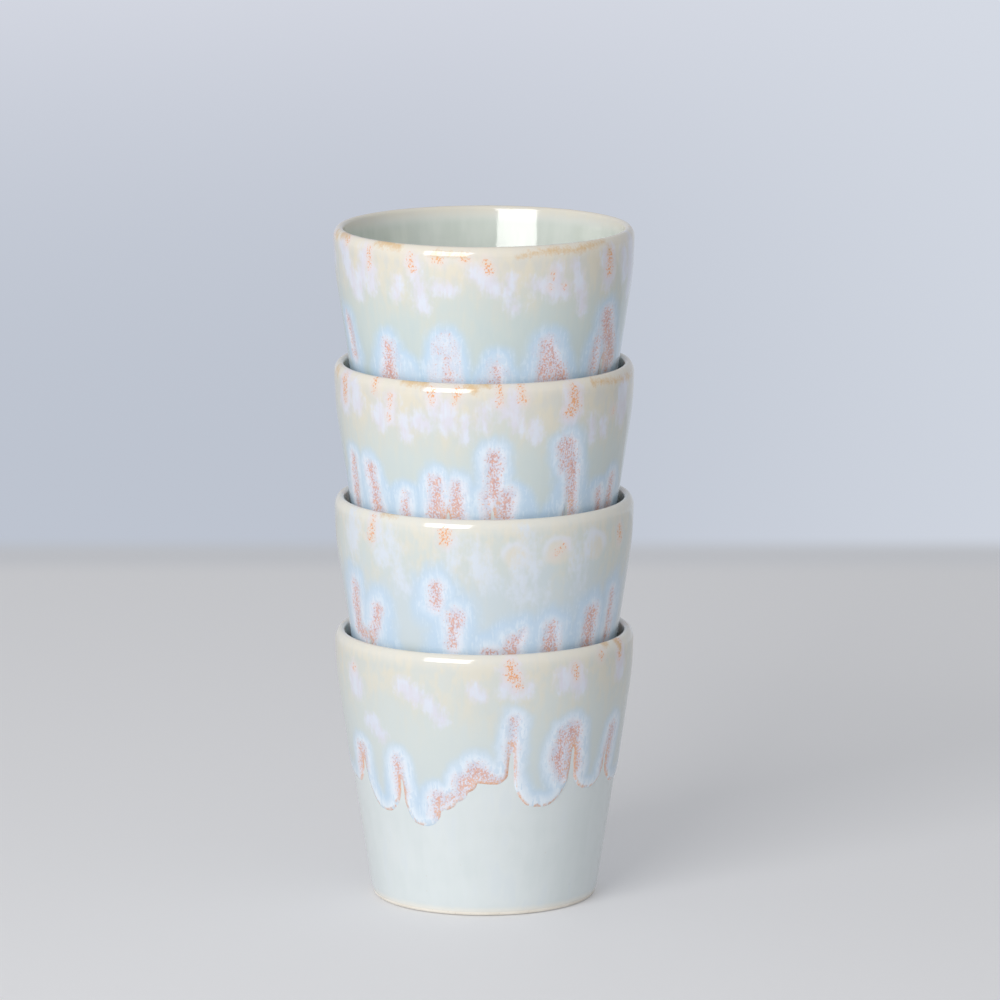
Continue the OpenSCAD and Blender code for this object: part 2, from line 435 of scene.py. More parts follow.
# %% Rust where the glaze is thin
dragged = plus(tree, mark(tree, "rust"), (blot, 2.2), (runs, 1.6))
wall = tinted(tree, wall, mauve, dragged, -1.8, 1.1, 0.78)
rust = tinted(tree, dark_rust, light_rust, curdle, -0.15, 0.2)
rust = tinted(tree, rust, orange_rust, mark(tree, "from_edge"), 3.5, 0.6, 0.7)
clumped = plus(tree, dragged, (curdle, 3.0))
thin = eased(tree, dragged, -1.7, -0.3)
crumbs = plus(tree, grit, (eased(tree, clumped, -1.5, 2.2), 0.24))
crumbs = times(tree, eased(tree, crumbs, 0.125, 0.245, 0.70), thin)
wall = blended(tree, crumbs, wall, rust)
iron = specks(tree, 0.4, 0.55, eased(tree, clumped, -1.0, 2.2, 0.50))
wall = blended(tree, times(tree, iron, 0.40), wall, rust)
curds = times(tree, eased(tree, grit, -0.04, -0.14), times(tree, thin, 0.5))
wall = blended(tree, curds, wall, curd_white)
print("with rust:", len(tree.nodes), "nodes")

# %% A broken orange line along the edge
edge = plus(tree, mark(tree, "from_edge"), (curdle, 0.9), (blot, 0.8))
here = eased(tree, plus(tree, runs, (blot, 0.8)), -0.12, 0.03)
line = times(tree, eased(tree, edge, 0.95, 0.35), here)
grains = maths(tree, "ADD", times(tree, specks(tree, 0.4, 0.6, 0.75), 0.4), 0.55)
wall = blended(tree, times(tree, line, grains), wall, edge_orange)
print("with the edge:", len(tree.nodes), "nodes")

# %% Orange flecks, ochre on the lip, and the inside
fleck = plus(tree, mark(tree, "fleck"), (curdle, 0.9))
wall = tinted(tree, wall, rose, plus(tree, fleck, (blot, 1.5)), -2.2, 0.0, 0.40)
wall = tinted(tree, wall, peach, fleck, -0.9, 0.5, 0.34)
dots = plus(tree, grit, (eased(tree, fleck, -1.2, 1.2), 0.21))
dots = times(tree, eased(tree, dots, 0.14, 0.25, 0.90), eased(tree, fleck, -1.0, -0.2))
wall = blended(tree, dots, wall, fleck_orange)
ochre = plus(tree, mark(tree, "ochre"), (curdle, 1.4), (blot, 1.7), (grit, 1.6))
wall = tinted(tree, wall, ochre_brown, ochre, -0.9, 0.8, 0.80)
veil = tinted(tree, inside_colour(tree), veil_cream, height, 55.0, 57.5, 0.8)
wall = blended(tree, mark(tree, "inside"), wall, veil)

wire(tree, shader, "Base Color", wall)
wire(tree, shader, "Roughness", maths(tree, "ADD", times(tree, cloud, 0.08), 0.08))
soft_bump(tree, shader, plus(tree, cloud, (runs, 0.4), (blot, 0.4), (curdle, 0.1)), 0.10, 0.25)
print("whole run glaze:", len(tree.nodes), "nodes")

# %% [markdown]
# ## Throwing a layer on the wheel
# A potter makes a cup by turning one outline about an axis, and so does this node tree.
# It lays out a flat grid, with one row for each point of the outline, and bends every row into a ring
# at that point's radius and height. The seam and the middle are then closed by merging.
# Blender's Screw modifier turns outlines too, but these nodes also close the layer and set its finish.


# %% The wheel, as Geometry Nodes
def build_wheel():
    wheel = bpy.data.node_groups.new("turned_on_the_wheel", "GeometryNodeTree")
    wheel.is_modifier = True
    face = wheel.interface
    add = wheel.nodes.new
    link = wheel.links.new
    face.new_socket("Outline", in_out="INPUT", socket_type="NodeSocketGeometry")
    steps = face.new_socket("Steps round", in_out="INPUT", socket_type="NodeSocketInt")
    finish = face.new_socket("Finish", in_out="INPUT", socket_type="NodeSocketMaterial")
    face.new_socket("Layer", in_out="OUTPUT", socket_type="NodeSocketGeometry")
    given = add("NodeGroupInput")
    made = add("NodeGroupOutput")

    count = add("GeometryNodeAttributeDomainSize")
    link(given.outputs["Outline"], count.inputs[0])
    grid = add("GeometryNodeMeshGrid")
    link(maths(wheel, "ADD", given.outputs["Steps round"], 1.0), grid.inputs["Vertices X"])
    link(count.outputs["Point Count"], grid.inputs["Vertices Y"])

    flat = add("ShaderNodeSeparateXYZ")
    link(add("GeometryNodeInputPosition").outputs[0], flat.inputs[0])
    angle = times(wheel, maths(wheel, "ADD", flat.outputs["X"], 0.5), 2 * math.pi)
    last_row = maths(wheel, "SUBTRACT", count.outputs["Point Count"], 1.0)
    row = times(wheel, maths(wheel, "ADD", flat.outputs["Y"], 0.5), last_row)

    point = add("GeometryNodeSampleIndex")
    point.data_type = "FLOAT_VECTOR"
    link(given.outputs["Outline"], point.inputs["Geometry"])
    link(add("GeometryNodeInputPosition").outputs[0], point.inputs["Value"])
    link(maths(wheel, "ROUND", row), point.inputs["Index"])
    outline_point = add("ShaderNodeSeparateXYZ")
    link(point.outputs[0], outline_point.inputs[0])
    radius = outline_point.outputs["X"]

    ring = add("ShaderNodeCombineXYZ")
    link(times(wheel, radius, maths(wheel, "SINE", angle)), ring.inputs["X"])
    back = times(wheel, radius, maths(wheel, "COSINE", angle))
    link(times(wheel, back, -1.0), ring.inputs["Y"])
    link(outline_point.outputs["Z"], ring.inputs["Z"])

    bend = add("GeometryNodeSetPosition")
    link(grid.outputs["Mesh"], bend.inputs["Geometry"])
    link(ring.outputs[0], bend.inputs["Position"])
    close = add("GeometryNodeMergeByDistance")
    close.inputs["Distance"].default_value = 0.002 * MM
    smooth = add("GeometryNodeSetShadeSmooth")
    real = add("GeometryNodeRealizeInstances")
    paint = add("GeometryNodeSetMaterial")
    link(given.outputs["Finish"], paint.inputs["Material"])
    chain = [bend, close, smooth, real, paint, made]
    for before, after in zip(chain, chain[1:]):
        link(before.outputs[0], after.inputs[0])
    return wheel, steps.identifier, finish.identifier


wheel, steps_socket, finish_socket = build_wheel()
print("wheel has", len(wheel.nodes), "nodes")


# %% Turn an outline into a plain mesh
def turned(name, points, steps, finish):
    """points are radius and height in millimetres, from axis to axis round the layer."""
    places = [(r * MM, 0.0, z * MM) for r, z in points]
    line = bpy.data.meshes.new(name)
    line.from_pydata(places, [(i, i + 1) for i in range(len(places) - 1)], [])
    helper = bpy.data.objects.new(name, line)
    bpy.context.scene.collection.objects.link(helper)
    throw = helper.modifiers.new("wheel", "NODES")
    throw.node_group = wheel
    throw[steps_socket] = steps
    throw[finish_socket] = finish
    ready = helper.evaluated_get(bpy.context.evaluated_depsgraph_get())
    mesh = bpy.data.meshes.new_from_object(ready)
    bpy.data.objects.remove(helper)
    bpy.data.meshes.remove(line)
    mesh.set_sharp_from_angle(angle=SHARP)
    return mesh


print("outlines can be turned")

# %% [markdown]
# ## The base glaze layer
# The layer follows the clay from the bare line over the lip to the floor of the bowl, and back again
# one glaze thickness deeper, so it is a closed skin. It thins out towards its lower edge, where it was
# wiped off the foot before firing.
# A second small skin fills the hollow of the foot.

# %% Outline of the skin
layer_rows = dict(inside_low=floor_top + bowl_round,
                  wall_steps=24, bend_steps=14, lip_steps=9, bore_steps=14)
BOWL_STEPS = 14
full_from = bare_line + 1.9
outer = np.concatenate([outline(0.0, full_from, **layer_rows), bowl(0.0, BOWL_STEPS)[1:]])
inner = np.concatenate([outline(base_thick, bare_line, **layer_rows), bowl(base_thick, BOWL_STEPS)[1:]])
# Depth of the wiped surface and height above the bare line, up to where the layer is full
wiped = ((0.25, 0.1), (0.19, 0.35), (0.12, 0.7), (0.06, 1.1), (0.02, 1.5))
wiped_edge = np.array([outline(depth, bare_line + up, **layer_rows)[0] for depth, up in wiped])
skin = np.concatenate([inner[::-1], wiped_edge, outer])
hollow = [(0, foot_hollow - base_thick), (hollow_radius, foot_hollow - base_thick),
          (hollow_radius, foot_hollow), (0, foot_hollow)]
print("skin of", len(skin), "points")


# %% Join two meshes, and store values on one
def joined(first, second, finish):
    """Two meshes as one."""
    both = bpy.data.meshes.new(first.name)
    start = len(first.vertices)
    points = [v.co[:] for mesh in (first, second) for v in mesh.vertices]
    faces = [tuple(p.vertices) for p in first.polygons]
    faces += [tuple(start + i for i in p.vertices) for p in second.polygons]
    both.from_pydata(points, [], faces)
    both.materials.append(finish)
    both.polygons.foreach_set("use_smooth", np.ones(len(faces), bool))
    both.set_sharp_from_angle(angle=SHARP)
    return both


def carry(mesh, name, values):
    """Stores a value at each point of a mesh, for the finish to read."""
    layer = mesh.attributes.new(name, "FLOAT", "POINT")
    layer.data.foreach_set("value", np.asarray(values, np.float32))


print("meshes can be joined and marked")

# %% Turn the base glaze of each cup
STEPS_ROUND = 240
FOOT_STEPS = 120
toward_bore = 1.5
under_floor = 0.15
# The inside is what lies on the bore's side of a cone within the wall, above the floor of the bowl
lean = (math.tan(wall_lean) + math.tan(bore_lean)) / 2
cone_foot = (foot_radius + bore_radius) / 2 - toward_bore
base_layers = {}
for k in CUPS:
    lift = [0.0, (k - 1) * step_up]
    cup_skin = turned(f"cup_{k}_base_glaze", skin + lift, STEPS_ROUND, base_glaze)
    foot_skin = turned(f"cup_{k}_foot_glaze", np.array(hollow) + lift, FOOT_STEPS, base_glaze)
    mesh = joined(cup_skin, foot_skin, base_glaze)
    place = np.array([v.co[:] for v in mesh.vertices]) / MM
    height = place[:, 2] - lift[1]
    radius = np.hypot(place[:, 0], place[:, 1])
    carry(mesh, "height", height)
    carry(mesh, "inside", (radius < cone_foot + height * lean) & (height > floor_top - under_floor))
    base_layers[k] = bpy.data.objects.new(f"cup_{k}_base_glaze", mesh)
    bpy.context.scene.collection.objects.link(base_layers[k])
print("base glaze layers:", {k: len(o.data.polygons) for k, o in base_layers.items()}, "faces")

# %% [markdown]
# ## Where the glaze ran
# The edge of the run glaze is listed for each cup as angle from the front and share of the longest drip,
# the same list that shapes the CAD part: round at each drip's end and sharp where two drips part.
# Where two drips part, a narrow slot of base glaze can reach further up between them.

# %% The drip edge of each cup
drip_edges = {
    1: [(-73.5, 0.82), (-70, 0.825), (-62, 0.655), (-51, 0.94), (-47.5, 0.945), (-38, 0.77),
        (-31.5, 0.99), (-26.5, 1.00), (-19, 0.90), (-12, 0.845), (-7, 0.785), (-3, 0.732),
        (5.5, 0.74), (11.3, 0.63), (20.5, 0.875), (27, 0.885), (39.7, 0.65), (48.5, 0.815),
        (52.5, 0.82), (62, 0.68), (74, 0.835), (78, 0.84), (92, 0.68), (107, 0.93), (121, 0.76),
        (136, 0.98), (152, 0.70), (168, 0.86), (182, 0.67), (198, 0.92), (213, 0.75), (229, 0.96),
        (243, 0.77), (256, 0.88), (270, 0.70)],
    2: [(-74, 0.93), (-62, 0.80), (-54, 0.90), (-47, 0.80), (-33, 0.98), (-18, 0.82), (-9, 0.79),
        (2, 0.97), (11, 0.80), (20, 0.94), (29, 0.79), (40, 0.92), (49, 0.80), (58, 0.91), (67, 0.80),
        (82, 0.97), (98, 0.78), (112, 0.91), (128, 0.76), (144, 0.95), (158, 0.80), (172, 0.93),
        (188, 0.75), (204, 0.99), (220, 0.79), (236, 0.90), (252, 0.77), (268, 0.95), (278, 0.83)],
    3: [(-73, 0.90), (-65, 0.80), (-58, 0.88), (-51, 0.80), (-42, 0.96), (-33, 0.84), (-26, 0.93),
        (-19, 0.81), (-14, 0.87), (-9, 0.80), (-2, 0.92), (6, 0.79), (20, 0.98), (35, 0.79),
        (48, 0.93), (56, 0.83), (61, 0.89), (67, 0.80), (84, 0.98), (100, 0.76), (115, 0.91),
        (130, 0.78), (147, 0.97), (163, 0.75), (180, 0.90), (197, 0.78), (213, 0.96), (230, 0.76),
        (247, 0.92), (264, 0.77), (277, 0.92)],
    4: [(-78, 0.92), (-67, 0.79), (-55, 0.94), (-43, 0.80), (-30, 0.97), (-16, 0.80), (-5, 0.92),
        (5, 0.82), (15, 0.95), (28, 0.79), (41, 0.93), (50, 0.82), (57, 0.79), (74, 0.97), (90, 0.77),
        (105, 0.90), (120, 0.75), (137, 0.98), (154, 0.79), (170, 0.93), (186, 0.76), (203, 0.95),
        (219, 0.75), (236, 0.97), (251, 0.79), (267, 0.90), (275, 0.80)],
}
# Slots as angle, height of the tip and half the width in millimetres
slots = {
    1: [(-38, 30.5, 0.6), (11.3, 39.0, 0.55), (39.7, 37.5, 0.6), (62, 34.5, 0.6)],
    2: [(-58, 31.0, 0.7)],
    3: [(-15.5, 31.2, 0.7), (3.5, 31.6, 0.7), (37, 32.0, 0.7)],
    4: [(59, 33.5, 0.8)],
}
print("knots of each drip edge:", {k: len(drip_edges[k]) for k in CUPS})

# %% Height of the edge at any angle
BACK = (82, 278)
drip_round = 1.8
slot_fall = 7.0
SLOT_SEED = 20
STROKE_SEED = 40


def parting_angles(edge):
    """Angles on the back of a cup where two drips part."""
    middle = edge[1:-1]
    around = zip(edge, middle, edge[2:])
    return [(p[0], cup_top - longest_drip * p[1]) for a, p, b in around
            if BACK[0] < p[0] < BACK[1] and p[1] < a[1] and p[1] < b[1]]


def parting(way):
    """From a drip's round end, at nought, to the sharp place where two drips part, at one."""
    return 1 - (1 - np.clip(way, 0, 1) ** drip_round) ** (1 / drip_round)


def edge_height(k, angles):
    """Height of the drip edge of a cup at each angle, in degrees."""
    edge = drip_edges[k]
    knots = np.array(edge + [(edge[0][0] + 360, edge[0][1])], float)
    turned_to = (angles - knots[0, 0]) % 360 + knots[0, 0]
    after = np.clip(np.searchsorted(knots[:, 0], turned_to, side="right"), 1, len(knots) - 1)
    start, end = knots[after - 1], knots[after]
    way = (turned_to - start[:, 0]) / (end[:, 0] - start[:, 0])
    fall = start[:, 1] - end[:, 1]
    share = np.where(fall > 0, start[:, 1] - fall * parting(way), end[:, 1] + fall * parting(1 - way))
    low = cup_top - longest_drip * share
    for slot_angle, tip, half_width in slots[k]:
        off = np.abs((angles - slot_angle + 180) % 360 - 180) * math.radians(1) * mid_radius
        low = np.maximum(low, tip - slot_fall * (off / half_width) ** 1.5)
    return low


for k in CUPS:
    chance = np.random.default_rng(SLOT_SEED + k)
    for angle, low in parting_angles(drip_edges[k]):
        slots[k].append((angle, low + chance.uniform(2, 7), chance.uniform(0.5, 0.8)))
print("slots:", {k: len(slots[k]) for k in CUPS})

# %% [markdown]
# ## Brush marks
# Everything else in the run glaze is placed like brush strokes: from one angle and height to another,
# with half a width in millimetres at each end. A seventh number caps how deep inside a stroke counts, so
# a low cap gives a pale patch without rust. Those seen from the front follow the photograph.
# The strokes on the back are drawn by the same rules with a fixed seed.

# %% Rust strokes, where the glaze was dragged thin
rust_strokes = {
    1: [(-62, 34.4, -63, 30.5, 1.6, 1.6), (-39, 34.2, -38, 27.5, 0.9, 1.2), (12, 44.6, 11, 38.5, 0.6, 0.8),
        (11, 38.5, 11, 31.8, 0.7, 0.7), (34, 40.6, 32, 35.3, 1.2, 1.5), (38, 40.9, 40, 32.7, 2.0, 2.0),
        (32, 35.3, 35, 30.7, 1.4, 0.9), (65, 39.0, 62, 31.0, 1.3, 1.6), (-20, 26.4, -21.5, 22.6, 1.4, 0.8),
        (-19, 25.4, -12, 27.6, 0.8, 0.7), (-9, 31.0, -10.5, 28.0, 1.4, 1.0), (-8, 30.2, -3, 33.0, 1.0, 1.3),
        (-3, 33.4, 0, 32.0, 1.6, 1.3), (0, 31.6, 7, 30.9, 1.0, 0.5)],
    2: [(-64, 41.1, -67, 31.9, 1.5, 1.5), (-67, 31.9, -58, 30.6, 1.4, 1.1), (-49, 37.4, -53, 32.0, 1.2, 1.0),
        (-53, 32.0, -56, 30.1, 1.0, 1.0), (-19, 43.9, -20, 40.2, 1.1, 1.0), (-12, 37.8, -13, 33.6, 1.4, 0.8),
        (-13, 33.6, -13, 31.3, 0.7, 0.8), (12, 32.2, 11, 29.0, 1.2, 1.8), (16, 34.2, 14, 32.2, 0.3, 0.6),
        (1, 29.8, 5, 29.4, 0.5, 0.6), (29, 34.4, 29, 28.5, 1.3, 1.8), (50, 36.4, 49, 29.0, 1.7, 1.6),
        (64, 40.2, 64, 30.0, 0.6, 1.0)],
    3: [(-66, 39.8, -69, 30.0, 1.0, 1.5), (-53, 38.8, -51, 30.0, 1.2, 1.5), (-34, 33.9, -35, 28.5, 0.4, 0.9),
        (-20, 37.4, -20, 30.0, 1.2, 2.0), (-11, 36.8, -12, 30.0, 0.8, 1.8), (4, 43.2, 4, 35.5, 1.3, 1.3),
        (9, 34.1, 8, 29.5, 1.7, 1.6), (1, 34.4, 2, 29.5, 0.8, 0.6), (35, 45.1, 38, 38.9, 1.5, 1.4),
        (38, 37.7, 40, 29.0, 1.0, 1.0), (32, 45.1, 34, 40.0, 0.7, 0.8), (56, 32.9, 58, 28.5, 0.8, 1.0),
        (66, 35.0, 66, 28.5, 0.9, 1.4)],
    4: [(-71, 40.2, -69, 33.0, 1.0, 1.0), (-43, 36.5, -44, 29.0, 1.0, 2.1),
        (-16, 37.3, -16, 29.0, 2.0, 2.9, -0.8), (-15, 34.5, -15, 29.0, 0.6, 1.0, 0.4),
        (5, 32.7, 5, 29.0, 0.6, 1.2), (26, 37.5, 30, 29.0, 1.1, 3.6, 0.6), (58, 41.9, 66, 32.8, 1.9, 2.4),
        (53, 36.5, 52, 30.7, 0.8, 0.9), (63, 32.5, 64, 29.0, 1.1, 1.0),
        (-43, 36.0, -42, 29.0, 1.4, 3.0, -1.2), (-36, 32.5, -34, 29.0, 0.8, 1.5, -1.4),
        (5, 33.8, 5, 29.0, 0.8, 3.4, -1.2), (27, 36.5, 29, 29.0, 2.2, 4.2, -1.2),
        (57, 40.5, 57, 29.0, 1.2, 3.4, -1.0)],
}
print("rust strokes:", {k: len(rust_strokes[k]) for k in CUPS})

# %% Milky clouds under the rim
milk_strokes = {
    1: [(-61, 52.1, -59, 49.5, 1.5, 2.4), (-33, 51.3, -26, 49.5, 1.3, 1.4), (-22, 48.5, -17, 44.6, 0.8, 1.0),
        (-52, 42.3, -46, 39.5, 1.1, 1.1), (-4, 51.5, -1, 50.2, 0.9, 0.9), (8, 55.5, 8, 51.5, 0.9, 1.0),
        (11, 55.9, 12, 51.8, 1.4, 1.5), (31, 54.2, 32, 51.8, 0.9, 1.5), (37, 53.8, 40, 51.3, 1.5, 1.8),
        (65, 55.3, 65, 51.7, 1.5, 1.3), (17, 51.7, 17, 50.8, 0.5, 0.5)],
    2: [(-46, 57.0, -42, 49.7, 0.8, 1.6), (-40, 55.7, -32, 43.1, 0.8, 1.2), (-12, 53.8, -12, 50.7, 1.1, 1.0),
        (-61, 56.0, -62, 51.2, 1.4, 2.0), (-4, 52.8, -1, 47.7, 0.9, 1.3), (-1, 51.3, 3, 45.4, 0.7, 1.3),
        (18, 55.0, 21, 43.2, 0.7, 0.9), (38, 52.9, 40, 43.3, 0.5, 0.8), (44, 53.6, 44, 48.7, 0.9, 0.8),
        (14, 48.9, 14, 43.4, 0.9, 1.4)],
    3: [(-67, 56.5, -67, 52.4, 2.4, 2.4), (-59, 56.2, -57, 52.8, 1.1, 1.7), (-44, 52.2, -44, 49.5, 1.3, 1.3),
        (-38, 55.4, -38, 50.5, 0.9, 0.8), (-32, 50.2, -32, 47.3, 0.6, 0.7), (-26, 50.7, -22, 50.0, 1.5, 1.3),
        (-19, 56.0, -19, 52.1, 0.9, 1.1), (-15, 53.9, -14, 50.6, 1.3, 1.6), (-7, 51.0, -7, 47.6, 0.6, 0.7),
        (0, 53.5, 0, 50.1, 1.0, 0.9), (6, 55.0, 8, 53.0, 1.2, 1.7), (11, 56.0, 12, 50.2, 1.4, 1.3),
        (19, 50.3, 20, 47.1, 0.5, 0.6), (36, 55.5, 35, 51.6, 1.9, 2.1), (46, 49.4, 46, 46.5, 0.8, 0.9),
        (52, 48.9, 53, 46.9, 0.6, 0.6), (67, 54.7, 67, 50.2, 2.2, 2.2)],
    4: [(-69, 57.0, -58, 47.7, 1.5, 1.2), (-51, 56.0, -57, 47.3, 1.2, 1.2), (-48, 53.1, -48, 48.9, 1.0, 1.0),
        (-35, 51.4, -36, 48.0, 0.4, 0.4), (-27, 55.0, -24, 46.1, 1.1, 1.0), (-19, 50.2, -12, 49.8, 0.9, 0.8),
        (-4, 54.1, -4, 53.0, 0.6, 0.6), (0, 52.5, 4, 49.9, 1.6, 1.2), (10, 52.2, 9, 49.1, 0.6, 0.7),
        (29, 54.0, 28, 49.4, 0.9, 1.9), (20, 50.7, 33, 49.4, 1.0, 1.5), (37, 54.4, 42, 45.0, 1.1, 0.9),
        (55, 55.3, 56, 50.3, 1.8, 1.6), (67, 55.0, 70, 50.5, 1.2, 1.3), (10, 47.5, 12, 45.6, 0.7, 0.7),
        (75, 56.0, 78, 47.0, 1.7, 1.8)],
}
# Craters of burst bubbles, with a milky ring: angle, height, radius, half the ring's width
milk_rings = {1: [], 2: [(12, 51.2, 2.7, 0.4), (29, 51.6, 3.0, 0.4), (47.5, 51.6, 3.0, 0.4)], 3: [], 4: []}
print("milky clouds:", {k: len(milk_strokes[k]) for k in CUPS})

# %% Orange flecks and ochre on the lip
fleck_strokes = {
    1: [(-60, 53.5, -60, 52.9, 0.4, 0.4), (10, 56.6, 10, 54.6, 1.1, 1.2), (12, 54.5, 13, 52.3, 0.9, 0.8),
        (37, 55.3, 38, 52.8, 0.7, 0.5), (51, 56.9, 51, 56.5, 0.5, 0.5), (65, 58.5, 64, 55.6, 0.9, 0.9)],
    2: [(-47, 57.6, -48.5, 53.6, 0.5, 0.9), (-15, 56.3, -15, 54.4, 1.2, 1.1), (30, 51.8, 28, 51.1, 0.3, 0.2),
        (32, 52.7, 32, 52.6, 0.3, 0.3), (64, 54.2, 65, 51.8, 0.7, 0.7)],
    3: [(-67, 56.9, -67, 52.9, 1.3, 0.9), (-46, 58.5, -46, 56.0, 0.5, 0.4), (-38, 55.6, -38, 53.2, 0.5, 0.4),
        (-39, 51.2, -39, 50.5, 0.3, 0.3), (-20, 57.3, -20, 55.1, 0.8, 0.5), (-10, 57.5, -11, 55.1, 0.8, 0.3),
        (6, 58.5, 6, 55.0, 0.5, 0.6), (14, 58.3, 15, 55.7, 0.5, 0.8), (36, 56.9, 37, 53.5, 1.1, 1.3),
        (34, 52.3, 35, 51.8, 1.0, 0.7), (59, 50.9, 59, 50.8, 0.4, 0.4)],
    4: [(-49, 57.2, -49, 53.5, 0.4, 0.4), (-65, 58.0, -65, 57.5, 0.6, 0.6), (-29, 56.4, -28, 54.1, 0.6, 0.6),
        (-19, 56.4, -16, 56.0, 0.5, 0.5), (-8, 56.4, -6, 56.4, 0.4, 0.4), (1, 55.6, 2, 54.1, 0.7, 0.8),
        (27, 53.1, 27, 52.4, 0.3, 0.3), (26, 50.1, 26, 50.0, 0.3, 0.3), (32, 50.1, 32, 50.0, 0.3, 0.3),
        (56, 55.7, 56, 51.8, 0.9, 0.9)],
}
ochre_strokes = {
    1: [(54, 58.7, 57, 58.7, 0.2, 0.2), (63, 58.7, 65, 57.0, 0.6, 0.5)],
    2: [(-43, 58.7, -36, 58.7, 0.3, 0.3)],
    3: [(-33, 58.7, -22, 58.6, 0.4, 0.5), (-6, 58.6, -3, 57.8, 0.6, 0.6), (46, 57.8, 56, 57.4, 0.2, 0.3),
        (56, 57.4, 68, 57.0, 0.2, 0.4), (70, 57.0, 80, 56.8, 0.4, 0.4), (-2, 58.7, 2, 58.6, 0.4, 0.4)],
    4: [(-46, 58.6, -33, 58.5, 0.5, 0.5), (-20, 57.4, -5, 57.3, 0.2, 0.2), (13, 56.8, 18, 57.3, 0.2, 0.3),
        (18, 57.3, 27, 57.9, 0.2, 0.3), (27, 57.8, 36, 57.5, 0.4, 0.3), (36, 57.5, 43, 57.7, 0.5, 0.5),
        (43, 57.9, 54, 58.3, 0.4, 0.2), (55, 57.0, 55, 56.0, 0.4, 0.4), (-72, 58.6, -66, 58.5, 0.8, 0.6)],
}
print("flecks:", {k: len(fleck_strokes[k]) for k in CUPS})

# %% The back, by the same rules
for k in CUPS:
    chance = np.random.default_rng(STROKE_SEED + k)
    for angle, low in parting_angles(drip_edges[k]):
        top = low + chance.uniform(4, 11)
        drift = chance.uniform(-3, 3)
        widths = chance.uniform(0.6, 1.3), chance.uniform(1.0, 2.2)
        rust_strokes[k].append((angle + drift, top, angle, low, *widths))
    angle = BACK[0] + chance.uniform(0, 8)
    while angle < BACK[1]:
        top, long = chance.uniform(53, 56), chance.uniform(2, 6)
        drift, width = chance.uniform(-4, 4), chance.uniform(0.7, 1.5)
        milk_strokes[k].append((angle, top, angle + drift, top - long, width, 1.2))
        if chance.random() < 0.7:
            fleck_strokes[k].append((angle, top + 1.5, angle, top - 0.5, chance.uniform(0.4, 1.0), 0.5))
        if chance.random() < 0.4:
            ochre_strokes[k].append((angle + 4, 58.3, angle + 9, 57.6, 0.5, 0.6))
        angle += chance.uniform(9, 18)
print("strokes on each cup:", {k: len(rust_strokes[k]) + len(milk_strokes[k]) for k in CUPS})

# %% [markdown]
# ## Distances on the wall
# The finish needs to know how far each point of the glaze is from the drip edge and from the strokes.
# The wall is treated as unrolled: an angle times the radius there is a distance across.
# A positive value means inside a stroke, or above the drip edge.

# %% Measure from strokes and from the edge
EDGE_REACH = 22.0
EDGE_STEPS = 220


def turn_between(angles, angle):
    return np.radians((angles - angle + 180) % 360 - 180)


def inside_strokes(strokes, angles, heights, radii):
    """How far inside the nearest stroke, as far as the stroke's cap."""
    best = np.full(np.broadcast(angles, heights).shape, -FAR)
    for a0, z0, a1, z1, w0, w1, *cap in strokes:
        across = turn_between(angles, a0) * radii
        aim = np.array([math.radians(a1 - a0) * mid_radius, z1 - z0])
        rise = heights - z0
        way = np.clip((across * aim[0] + rise * aim[1]) / max(aim @ aim, 1e-9), 0, 1)
        gap = np.hypot(across - way * aim[0], rise - way * aim[1])
        depth = w0 + (w1 - w0) * way - gap
        best = np.maximum(best, np.minimum(depth, cap[0] if cap else FAR))
    return best


def inside_rings(rings, angles, heights, radii):
    """How far inside the nearest ring."""
    best = np.full(np.broadcast(angles, heights).shape, -FAR)
    for angle, height, radius, half_width in rings:
        gap = np.hypot(turn_between(angles, angle) * radii, heights - height)
        best = np.maximum(best, half_width - np.abs(gap - radius))
    return best


def above_edge(k, angles, heights, radii):
    """Signed distance to the drip edge, column by column, from the stretch of edge near it."""
    fine = np.linspace(-EDGE_REACH, EDGE_REACH, EDGE_STEPS + 1)
    distance = np.empty((len(heights), len(angles)))
    for column, angle in enumerate(angles):
        edge = edge_height(k, angle + fine)
        across = np.radians(fine)[None, :] * radii[:, None]
        rise = edge[None, :] - heights[:, None]
        start_x, start_z = across[:, :-1], rise[:, :-1]
        step_x, step_z = np.diff(across), np.diff(rise)
        way = np.clip(-(start_x * step_x + start_z * step_z) / (step_x ** 2 + step_z ** 2), 0, 1)
        gap = np.hypot(start_x + way * step_x, start_z + way * step_z).min(1)
        here = edge_height(k, np.array([angle]))[0]
        distance[:, column] = np.where(heights > here, gap, -gap)
    return distance


print("edge of cup 1 at the front:", edge_height(1, np.array([0.0]))[0].round(2), "mm")

# %% [markdown]
# ## The run glaze layer
# A bump could fake this layer, but real thickness catches the light along the drips, so it is built.
# The layer is laid over the base glaze as thick as the melt was: a round bead along the drip edge, a
# thinner film above it. At the edge its surface dips below the base glaze, so the visible line is where
# the two surfaces cross, smooth however the mesh is cut. A back face inside the base glaze closes it.
# Where a rust stroke dragged the glaze, it is thinner. Cells well past an edge are left out.

# %% Rows and thickness of the run glaze
COLUMNS = 400
run_rows = dict(low=cup_top - longest_drip - 1.2, inside_low=cup_top - reach_inside - 3.8,
                wall_steps=66, bend_steps=28, lip_steps=9, bore_steps=13)
run_surface = outline(0.0, **run_rows)
run_normal = run_surface - outline(1.0, **run_rows)
lip_row = int(np.argmax(run_surface[:, 1]))
column_angles = np.arange(COLUMNS) * 360.0 / COLUMNS
bead_thick = 0.36
bead_reach = 3.0
edge_slope = 0.8
edge_dip = 0.25
back_depth = 0.27
drag_from, drag_over, drag_share = -1.0, 1.5, 0.7
past_edge, past_inner = 0.02, 2.52
fade_inside = reach_inside - 1.0
# Waves of the inner edge: their height, how many go round, and degrees of shift from cup to cup
inner_waves = ((0.8, 7, 40), (0.5, 16, 90))


